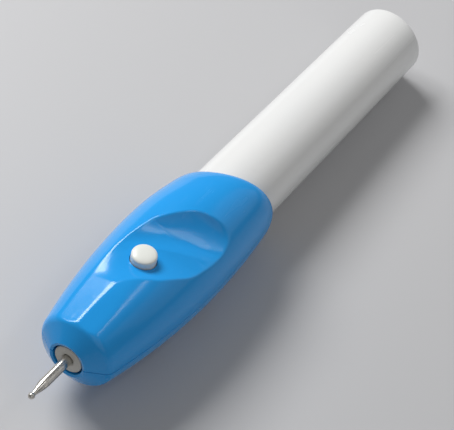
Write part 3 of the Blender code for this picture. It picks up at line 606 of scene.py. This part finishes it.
def noseProfile():
    g = grip
    cones, bends = g["coneSteps"], g["bendSteps"]
    slope = math.atan2(g["rimAt"], g["rimRadius"] - g["lipRadius"])
    start = Vector((g["rimAt"] - g["rimRound"] * math.sin(slope),
                    g["rimRadius"] - g["rimRound"] * math.cos(slope)))
    end = Vector((g["rimAt"] + g["rimRound"], gripRadius(g["rimAt"] + g["rimRound"])))
    corner = Vector((g["rimAt"], g["rimRadius"]))
    cone = [Vector((0, g["lipRadius"])).lerp(start, i / cones) for i in range(cones)]
    bend = [start * (1 - t) ** 2 + corner * 2 * t * (1 - t) + end * t * t
            for t in (i / bends for i in range(bends + 1))]
    return [(p.x, p.y) for p in cone + bend]


def gripOutline():
    g = grip
    points = noseProfile()
    ends = g["endSteps"]
    first, last = points[-1][0], g["length"] - g["endRoundLength"]
    count = g["stepsAlong"] - ends
    rest = [first + (last - first) * i / count for i in range(1, count + 1)]
    rest += [last + g["endRoundLength"] * math.sin(quarter * i / ends) for i in range(1, ends + 1)]
    return points + [(x, gripRadius(x)) for x in rest]


def shapeGrip(piece):
    # The flats, the hollow and the slanted rear are pressed into the spun outside,
    # and the belly is a little flat where it rests
    for v in piece.data.vertices:
        x, radius = v.co.x, math.hypot(v.co.y, v.co.z)
        turn = math.atan2(-v.co.y, v.co.z)
        r = skinRadius(x, turn, radius)
        shift = slantShift(x, turn, max(radius, grip["endRadius"]))
        v.co = (x + shift, -r * math.sin(turn), r * math.cos(turn))
        v.co.z = max(v.co.z, -(penNose.z + v.co.x * penAxis.z) / penUp.z)


def insideOutline():
    # From the mouth at the rear over seat, neck and room to the nose bore
    g = grip
    steps = g["roomSteps"]
    depth = g["seatAt"] - g["boreEnd"]
    along = [g["seatAt"] - depth * i / steps for i in range(g["neckSteps"], steps + 1)]
    room = [(x, gripRadius(x) * (1 - g["flatShare"]) - g["wall"]) for x in along]
    rear = [(g["length"], g["mouthRadius"]), (g["seatAt"], g["mouthRadius"]), (g["seatAt"], g["neckRadius"]),
            (along[0], g["neckRadius"])]
    return rear + room + [(g["boreEnd"], g["boreRadius"]), (g["parting"], g["boreRadius"])]


def shapeInside(piece):
    # The mouth follows the slanted rear, and the room keeps its wall under the hollow
    g = grip
    for v in piece.data.vertices:
        x, radius = v.co.x, math.hypot(v.co.y, v.co.z)
        turn = math.atan2(-v.co.y, v.co.z)
        if x > g["length"] - weld:
            v.co.x = x + slantShift(x, turn, g["endRadius"])
        elif radius > g["neckRadius"] + weld and x < g["seatAt"] - weld:
            floor = hollowFloor(x, turn)
            r = radius if floor is None else min(radius, floor - hollow["wall"])
            v.co = (x, -r * math.sin(turn), r * math.cos(turn))


def gripBody():
    # Outside and inside share their rings at the rim and the nose, where they weld
    ends = insideOutline()
    outside = spinProfile("gripBody", [ends[-1]] + gripOutline() + [ends[0]], grip["stepsAround"])
    shapeGrip(outside)
    inside = spinProfile("gripInside", ends, grip["stepsAround"])
    shapeInside(inside)
    return welded([outside, inside])


def gripHalf(body, name, side):
    duplicateOf(body)
    half = named(name)
    reach = grip["maxRadius"] + over
    low, high = sorted((side * grip["parting"] / 2, side * reach))
    space = makeBox("halfSpace", (-over, -reach, low), (grip["length"] + grip["slantReach"], reach, high))
    return carve(half, space, "INTERSECT")


button = {
    "at": 28.75 * mm, "radius": 3.25 * mm, "top": 14.3 * mm, "crown": 1.0 * mm, "flange": 4.0 * mm,
    "flangeThick": 0.5 * mm, "seat": 8.7 * mm, "nub": 1.4 * mm, "nubDepth": 0.95 * mm, "gap": 0.3 * mm,
    "power": 2.8, "slot": 0.2 * mm, "holeDepth": 3.0 * mm, "steps": 96, "crownSteps": 24, "smooth": 40,
}
# Grip screws: rounded heads with a cross, seen up their holes from below
screws = {
    "front": (24.4 * mm, 9.4 * mm), "rear": (42.5 * mm, 10.2 * mm), "bossRadius": 3.0 * mm, "seat": -4.6 * mm,
    "headRadius": 1.9 * mm, "head": 1.3 * mm, "radius": 1.0 * mm, "length": 9.2 * mm, "gap": 0.3 * mm,
    "rim": 0.35 * mm, "core": 0.72 * mm, "pitch": 0.8 * mm, "flankTo": 0.35, "crestTo": 0.45, "rootFrom": 0.8,
    "threadFrom": 0.6 * mm, "drive": 1.0 * mm, "driveWidth": 0.42 * mm, "driveDepth": 0.75 * mm,
    "postSteps": 48, "shankSteps": 32, "steps": 48, "headSteps": 12, "smooth": 35,
}
# The bosses end inside this core, which follows the grip's outline some way in
bossCore = {"from": 8.0 * mm, "to": 50.0 * mm, "inset": 0.4 * mm, "rings": slice(35, 200, 4), "steps": 64}


def screwPlaces():
    for row in ("front", "rear"):
        x, y = screws[row]
        yield f"{row}_left", x, y
        yield f"{row}_right", x, -y


def makeGrip():
    s, b, inner = screws, button, bossCore
    body = gripBody()
    top = gripHalf(body, "gripTopShell", 1)
    bottom = gripHalf(body, "gripBottomShell", -1)
    bpy.data.objects.remove(body)
    carve(top, post("buttonHole", b["at"], 0, b["seat"] - b["holeDepth"], grip["maxRadius"] + over,
                    b["radius"] + b["slot"], b["steps"]))
    outline = [(x, r - inner["inset"]) for x, r in gripOutline()[inner["rings"]]]
    core = spinProfile("gripCore", [(inner["from"], 0)] + outline + [(inner["to"], 0)], inner["steps"])
    bosses, recesses, shanks = [], [], []
    for place, x, y in screwPlaces():
        boss = post("boss", x, y, -grip["maxRadius"], -grip["parting"], s["bossRadius"], s["postSteps"])
        bosses.append(carve(boss, duplicateOf(core), "INTERSECT"))
        recesses.append(post("recess", x, y, -grip["maxRadius"] - over, s["seat"], s["headRadius"] + s["gap"],
                             s["postSteps"]))
        shanks.append(post("shankHole", x, y, s["seat"] - over, over, s["radius"] + s["gap"],
                           s["shankSteps"]))
    bpy.data.objects.remove(core)
    carve(bottom, joined(bosses), "UNION")
    carve(bottom, joined(recesses))
    carve(bottom, joined(shanks))
    for shell, node in ((top, "grip_top_shell"), (bottom, "grip_bottom_shell")):
        smoothShade(shell, grip["smooth"])
        layDown(shell, "grip", "gloss_blue", blueGloss, node)
    print("grip made")


makeGrip()


# Battery tube
tube = {
    "seat": 59.6 * mm, "radius": 10.5 * mm, "tailRadius": 9.8 * mm, "tailRing": 4.0 * mm, "wall": 1.1 * mm,
    "endWall": 1.5 * mm, "corner": 1.7 * mm, "taperFrom": 59.3 * mm, "edge": 0.15 * mm, "edgeSteps": 3,
    "edgeAngle": 50, "wallSteps": 24, "cornerSteps": 12, "steps": 192, "smooth": 40,
}


def makeTube():
    t = tube

    def outer(x):
        share = (x - t["taperFrom"]) / (penLength - t["taperFrom"])
        return t["radius"] + (t["tailRadius"] - t["radius"]) * share

    seat, corner, floor = t["seat"], penLength - t["corner"], penLength - t["endWall"]
    mouth = (seat, outer(seat) - t["wall"])
    profile = [mouth]
    for i in range(t["wallSteps"]):
        x = seat + (corner - seat) * i / t["wallSteps"]
        profile.append((x, outer(x)))
    for i in range(t["cornerSteps"] + 1):
        turn = quarter * i / t["cornerSteps"]
        profile.append((corner + t["corner"] * math.sin(turn),
                        outer(corner) - t["corner"] * (1 - math.cos(turn))))
    profile += [(penLength, t["tailRing"]), (penLength, 0)]
    cup = spinProfile("batteryTube", profile, t["steps"])
    room = spinProfile("tubeRoom", [(floor, 0), (floor, outer(floor) - t["wall"]), mouth], t["steps"])
    roundEdges(welded([cup, room]), t["edge"], t["edgeSteps"], t["edgeAngle"])
    smoothShade(cup, t["smooth"])
    layDown(cup, "tube", "gloss_white", whiteGloss, "battery_tube")


makeTube()


def makeButton():
    b = button
    low = b["seat"] - b["gap"] - b["flangeThick"]
    high, crown = low + b["flangeThick"], b["top"] - b["crown"]
    profile = [(b["seat"] - b["nubDepth"], 0), (b["seat"] - b["nubDepth"], b["nub"]), (low, b["nub"]),
               (low, b["flange"]), (high, b["flange"]), (high, b["radius"])]
    for i in range(b["crownSteps"] + 1):
        share = math.sin(quarter * i / b["crownSteps"])
        width = (1 - share ** b["power"]) ** (1 / b["power"])
        profile.append((crown + b["crown"] * share, b["radius"] * width))
    cap = standUp(spinProfile("powerButton", profile, b["steps"]), b["at"], 0)
    smoothShade(cap, b["smooth"])
    layDown(cap, "button", "button_white", warmWhite, "power_button")


makeButton()


# Nib: sleeve on the motor shaft, pin in the sleeve
nib = {
    "front": 0.3 * mm, "length": 13.2 * mm, "radius": 3.9 * mm, "coneDepth": 0.4 * mm, "coneRadius": 1.8 * mm,
    "edge": 0.35 * mm, "pinRadius": 1.3 * mm, "reach": 14.6 * mm, "pinSeat": 5.0 * mm, "taper": 4.2 * mm,
    "taperPower": 0.9, "neck": 0.9 * mm, "neckRadius": 0.6 * mm, "throat": 0.75 * mm, "ball": 0.85 * mm,
    "fluteDepth": 0.28 * mm, "fluteWidth": 0.4 * mm, "fluteAlong": 0.37, "flutes": 3, "shaft": 0.75 * mm,
    "shaftFront": 8.0 * mm, "slip": 0.1 * mm, "slack": 0.3 * mm, "sleeveSteps": 96, "pinSteps": 128,
    "fluteSteps": 160, "edgeSteps": 6, "ballSteps": 16, "neckSteps": 6, "taperSteps": 24,
    "sleeveSmooth": 35, "pinSmooth": 30,
}


def makeSleeve():
    n = nib
    front, rear = n["front"], n["front"] + n["length"]
    hole, bore = n["pinRadius"] + n["slip"], n["shaft"] + n["slip"]
    holeEnd, boreEnd = front + n["pinSeat"] + n["slack"], n["shaftFront"] - n["slack"]
    profile = [(holeEnd, 0), (holeEnd, hole), (front + n["coneDepth"], hole), (front, n["coneRadius"]),
               (front, n["radius"] - n["edge"])]
    for i in range(1, n["edgeSteps"] + 1):
        turn = quarter * i / n["edgeSteps"]
        profile.append((front + n["edge"] * (1 - math.cos(turn)),
                        n["radius"] - n["edge"] * (1 - math.sin(turn))))
    profile += [(rear - n["edge"], n["radius"]), (rear, n["radius"] - n["edge"]), (rear, bore),
                (boreEnd, bore), (boreEnd, 0)]
    sleeve = smoothShade(spinProfile("nibSleeve", profile, n["sleeveSteps"]), n["sleeveSmooth"])
    layDown(sleeve, "nib", "sleeve_plastic", sleeveNatural, "nib_sleeve")


def makePin():
    n = nib
    tip = -n["reach"]
    ball = tip + n["ball"]
    taperEnd = ball + n["ball"] + n["neck"]
    seat = n["front"] + n["pinSeat"]
    profile = [(tip, 0)]
    meet = math.acos(n["neckRadius"] / n["ball"])
    for i in range(1, n["ballSteps"] + 1):
        turn = -quarter + (quarter + meet) * i / n["ballSteps"]
        profile.append((ball + n["ball"] * math.sin(turn), n["ball"] * math.cos(turn)))
    start = profile[-1][0]
    for i in range(1, n["neckSteps"] + 1):
        share = i / n["neckSteps"]
        profile.append((start + (taperEnd - start) * share,
                        n["neckRadius"] + (n["throat"] - n["neckRadius"]) * share ** 2))
    for i in range(1, n["taperSteps"] + 1):
        share = i / n["taperSteps"]
        rise = math.sin(quarter * share ** n["taperPower"])
        profile.append((taperEnd + n["taper"] * share, n["throat"] + (n["pinRadius"] - n["throat"]) * rise))
    profile += [(n["front"], n["pinRadius"]), (seat, n["pinRadius"]), (seat, 0)]
    pin = spinProfile("nibPin", profile, n["pinSteps"])
    middle = taperEnd + n["neck"] / 2 + n["taper"] * n["fluteAlong"]
    lift = n["pinRadius"] - n["fluteDepth"] + n["taper"]
    for i in range(n["flutes"]):
        deselectAll()
        bpy.ops.mesh.primitive_cylinder_add(vertices=n["fluteSteps"], radius=n["taper"],
                                            depth=n["fluteWidth"])
        flute = named("flute")
        around = Matrix.Rotation(math.tau * (i + 0.5) / n["flutes"], 4, "X")
        place = around @ Matrix.Translation((middle, 0, lift))
        flute.data.transform(place @ Matrix.Rotation(quarter, 4, "X"))
        carve(pin, flute)
    smoothShade(pin, n["pinSmooth"])
    layDown(pin, "nib", "nickel_steel", nickel, "nib_pin")


makeSleeve()
makePin()


def makeScrews():
    s = screws
    seat = s["seat"] - s["gap"] / 2
    top, tip = seat - s["head"], seat + s["length"]
    profile = [(top, 0)]
    for i in range(1, s["headSteps"] + 1):
        turn = quarter * i / s["headSteps"]
        profile.append((seat - s["rim"] - (s["head"] - s["rim"]) * math.cos(turn),
                        s["headRadius"] * math.sin(turn)))
    profile += [(seat, s["headRadius"]), (seat, s["core"])]
    z, pitch = seat + s["threadFrom"], s["pitch"]
    while z < tip - 2 * pitch:
        profile += [(z, s["core"]), (z + pitch * s["flankTo"], s["radius"]),
                    (z + pitch * s["crestTo"], s["radius"]), (z + pitch * s["rootFrom"], s["core"])]
        z += pitch
    profile += [(tip - s["radius"], s["core"]), (tip, 0)]
    for place, x, y in screwPlaces():
        screw = standUp(spinProfile(f"gripScrew_{place}", profile, s["steps"]), x, y)
        for wide, deep in ((s["drive"], s["driveWidth"] / 2), (s["driveWidth"] / 2, s["drive"])):
            low, high = (x - wide, y - deep, top - over), (x + wide, y + deep, top + s["driveDepth"])
            carve(screw, makeBox("drive", low, high))
        smoothShade(screw, s["smooth"])
        layDown(screw, "grip", "zinc_steel", zincSteel, f"grip_screw_{place}")


makeScrews()


# Battery carrier, cells and coil, seen when the tube is pulled off
carrier = {
    "at": 46.4 * mm, "radius": 8.3 * mm,
    "flangeAt": 54.8 * mm, "flangeThick": 2.6 * mm, "flangeRadius": 11.2 * mm,
    "ringAt": 62.8 * mm, "rings": 3, "ringStep": 2.4 * mm, "ringWidth": 0.4 * mm, "ringRadius": 9.1 * mm,
    "end": 145.1 * mm, "pocketFrom": 48.0 * mm, "pocketTo": 143.5 * mm, "pocketRadius": 5.4 * mm,
    "openFrom": 73.5 * mm, "stripHalf": 1.8 * mm, "grooveDepth": 0.9 * mm, "legFrom": 142.6 * mm,
    "tabHalf": 1.1 * mm, "tabLow": 1.45 * mm, "tabHigh": 2.35 * mm, "edge": 0.15 * mm, "edgeSteps": 2,
    "edgeAngle": 50, "toolReach": 4.0 * mm, "steps": 96, "smooth": 30,
}
cell = {
    "starts": (48.9 * mm, 93.7 * mm), "radius": 5.1 * mm, "length": 43.6 * mm, "corner": 0.45 * mm,
    "nub": 0.9 * mm, "nubRadius": 1.9 * mm, "nubEdge": 0.25 * mm, "rimDrop": 0.1 * mm, "seal": 3.0 * mm,
    "sealDrop": 0.3 * mm, "sealIn": 0.4 * mm, "sealOut": 0.3 * mm,
    "baseDrop": 0.05 * mm, "dishDrop": 0.2 * mm, "dishIn": 0.4 * mm, "dishOut": 0.8 * mm,
    "film": 0.12 * mm, "filmGap": 0.02 * mm, "filmFront": 0.09 * mm, "filmRear": 0.04 * mm,
    "filmInset": 0.1 * mm, "filmBend": 0.15 * mm, "filmEdge": 0.4 * mm, "lip": 0.9 * mm,
    "steps": 96, "smooth": 30,
}
coil = {
    "from": 138.5 * mm, "length": 3.6 * mm, "wire": 0.5 * mm, "narrow": 1.9 * mm, "wide": 3.2 * mm,
    "turns": 3, "wireSteps": 16, "turnSteps": 40, "smooth": 40,
}


def makeCarrier():
    c = carrier
    behind = c["flangeAt"] + c["flangeThick"]
    profile = [(c["at"], 0), (c["at"], c["radius"]), (c["flangeAt"], c["radius"]),
               (c["flangeAt"], c["flangeRadius"]), (behind, c["flangeRadius"]), (behind, c["radius"])]
    for i in range(c["rings"]):
        x, w = c["ringAt"] + i * c["ringStep"], c["ringWidth"]
        profile += [(x, c["radius"]), (x + w, c["ringRadius"]), (x + 2 * w, c["ringRadius"]),
                    (x + 3 * w, c["radius"])]
    profile += [(c["end"], c["radius"]), (c["end"], 0)]
    body = spinProfile("batteryCarrier", profile, c["steps"])
    roundEdges(body, c["edge"], c["edgeSteps"], c["edgeAngle"])
    front, rear, room, far = c["pocketFrom"], c["pocketTo"], c["pocketRadius"], c["radius"] + c["toolReach"]
    strip, tab, ahead = c["stripHalf"], c["tabHalf"], c["at"] - over
    carve(body, spinProfile("pocket", [(front, 0), (front, room), (rear, room), (rear, 0)], c["steps"]))
    for name, low, high in (
            ("opening", (c["openFrom"], -room, 0), (rear, room, far)),
            ("groove", (ahead, -strip, -far), (rear, strip, c["grooveDepth"] - c["radius"])),
            ("legWay", (c["legFrom"], -strip, -far), (rear, strip, -room / 2)),
            ("tabWay", (ahead, -tab, c["tabLow"]), (front + over, tab, c["tabHigh"]))):
        carve(body, makeBox(name, low, high))
    smoothShade(body, c["smooth"])
    layDown(body, "grip", "black_plastic", blackMatte, "battery_carrier")


def makeCells():
    c = cell
    steel = c["radius"] - c["film"]
    corner, inset = steel - c["corner"], steel - c["filmInset"]
    lip, under = steel - c["lip"], steel + c["filmGap"]
    brow, nub = c["radius"] - c["filmInset"], c["nubRadius"]
    for start, which in zip(c["starts"], ("Front", "Rear")):
        body, end = start + c["nub"], start + c["nub"] + c["length"]
        rim, seal = body + c["rimDrop"], body + c["sealDrop"]
        base, dish = end - c["baseDrop"], end - c["dishDrop"]
        can = [(start, 0), (start, nub - c["nubEdge"]), (start + c["nubEdge"], nub), (rim, nub),
               (seal, nub + c["sealIn"]), (seal, c["seal"]), (rim, c["seal"] + c["sealOut"]), (rim, corner),
               (body + c["corner"], steel), (end - c["corner"], steel), (base, corner),
               (base, nub + c["dishOut"]), (dish, nub + c["dishIn"]), (dish, 0)]
        shell = smoothShade(spinProfile(f"cell{which}Can", can, c["steps"]), c["smooth"])
        layDown(shell, "grip", "nickel_steel", cellSteel)
        film = [(body, lip), (body, inset), (body + c["filmBend"], brow), (body + c["filmEdge"], c["radius"]),
                (end - c["filmEdge"], c["radius"]), (end - c["filmBend"], brow), (end, inset), (end, lip),
                (end - c["filmRear"], lip), (end - c["filmRear"], corner), (end - c["corner"], under),
                (body + c["corner"], under), (body + c["filmFront"], corner), (body + c["filmFront"], lip)]
        wrap = smoothShade(spinProfile(f"cell{which}Wrap", film, c["steps"], closed=True), c["smooth"])
        layDown(wrap, "grip", "cell_wrap", cellFilm, f"battery_cell_{which.lower()}")


def makeCoil():
    c = coil
    steps = c["turnSteps"] * c["turns"]
    deselectAll()
    bpy.ops.mesh.primitive_circle_add(vertices=c["wireSteps"], radius=c["wire"] / 2, location=(0, 0, 0),
                                      rotation=(quarter, 0, 0))
    bpy.ops.object.transform_apply(location=True, rotation=True, scale=True)
    spring = named("cellSpring")
    spring.data.transform(Matrix.Translation((c["from"] + c["wire"] / 2, 0, c["wide"])))
    applyModifier(spring, "SCREW", "coil", axis="X", angle=math.tau * c["turns"], screw_offset=c["length"],
                  steps=steps, render_steps=steps, use_merge_vertices=False)
    pick(spring)
    editMode()
    bpy.ops.mesh.select_mode(type="EDGE")
    bpy.ops.mesh.select_all(action="DESELECT")
    bpy.ops.mesh.select_non_manifold(extend=False)
    bpy.ops.mesh.edge_face_add()
    bpy.ops.mesh.select_all(action="SELECT")
    bpy.ops.mesh.normals_make_consistent(inside=False)
    objectMode()
    # The coil is wound at one width, then drawn in towards its front
    for v in spring.data.vertices:
        share = min(max((v.co.x - c["from"] - c["wire"] / 2) / c["length"], 0), 1)
        reach = math.hypot(v.co.y, v.co.z)
        drawn = (reach - (c["wide"] - c["narrow"]) * (1 - share)) / reach
        v.co.y *= drawn
        v.co.z *= drawn
    smoothShade(spring, c["smooth"])
    layDown(spring, "grip", "nickel_steel", nickel, "cell_spring")


makeCarrier()
makeCells()
makeCoil()


nodeMaterials = {
    "zinc_steel": zincSteel, "nickel_steel": nickel, "brass": brassStrip, "bronze": bronzeBush,
    "copper": copperWinding, "ferrite": ferriteGrey, "black_plastic": blackMatte, "red_insulation": redLead,
    "black_insulation": blackLead, "cell_wrap": cellFilm, "gloss_blue": blueGloss, "gloss_white": whiteGloss,
    "button_white": warmWhite, "sleeve_plastic": sleeveNatural,
}


def dressNodes():
    # CAD nodes that stay take the same materials, by the record's slots
    for row in record["subparts"]:
        node = frame["nodes"][row["node"]]
        for entry in node.material_slots:
            entry.link = "DATA"
        node.data.materials.clear()
        node.data.materials.append(nodeMaterials[row["material_slot"]])


dressNodes()


# Studio: a pale floor, a soft key, a weak fill, and two lamps for rim and ridges
studio = {"floorSize": 6, "floor": (0.52, 0.52, 0.53), "floorRough": 0.5, "sky": (1, 1, 1), "world": 0.19}
lamps = {
    "keyLamp": {"place": (0.15, 0.55, 0.60), "aim": (0, 0, 0), "size": (0.5, 0.35), "power": 7.0},
    "fillLamp": {"place": (-0.45, -0.45, 0.45), "aim": (0, 0, 0), "size": (0.6, 0.6), "power": 0.45},
    "rimLamp": {"place": (0.50, -0.45, 0.35), "aim": (0, 0, 0.01), "size": (0.9, 0.5), "power": 0.50},
    "ridgeLamp": {"place": (0.11, -0.29, 0.63), "aim": (0, 0, 0.01), "size": (0.35, 0.06), "power": 0.28},
}


def areaLamp(name, row):
    deselectAll()
    bpy.ops.object.light_add(type="AREA", location=row["place"])
    lamp = bpy.context.object
    lamp.name = name
    lamp.rotation_mode = "QUATERNION"
    lamp.rotation_quaternion = (Vector(row["aim"]) - Vector(row["place"])).to_track_quat("-Z", "Y")
    lamp.data.shape = "RECTANGLE"
    lamp.data.size, lamp.data.size_y = row["size"]
    lamp.data.energy = row["power"]


def makeStudio():
    deselectAll()
    bpy.ops.mesh.primitive_plane_add(size=studio["floorSize"], location=(0, 0, 0))
    floor = named("floor")
    material, _, shader = newMaterial("floorPale")
    shader.inputs["Base Color"].default_value = (*studio["floor"], 1)
    shader.inputs["Roughness"].default_value = studio["floorRough"]
    floor.data.materials.append(material)
    for name, row in lamps.items():
        areaLamp(name, row)
    world = bpy.data.worlds.new("studioWorld")
    bpy.context.scene.world = world
    world.use_nodes = True
    sky = world.node_tree.nodes["Background"].inputs
    sky["Color"].default_value = (*studio["sky"], 1)
    sky["Strength"].default_value = studio["world"]
    bpy.context.scene.view_settings.view_transform = "Standard"


makeStudio()
deselectAll()
print("scene made")
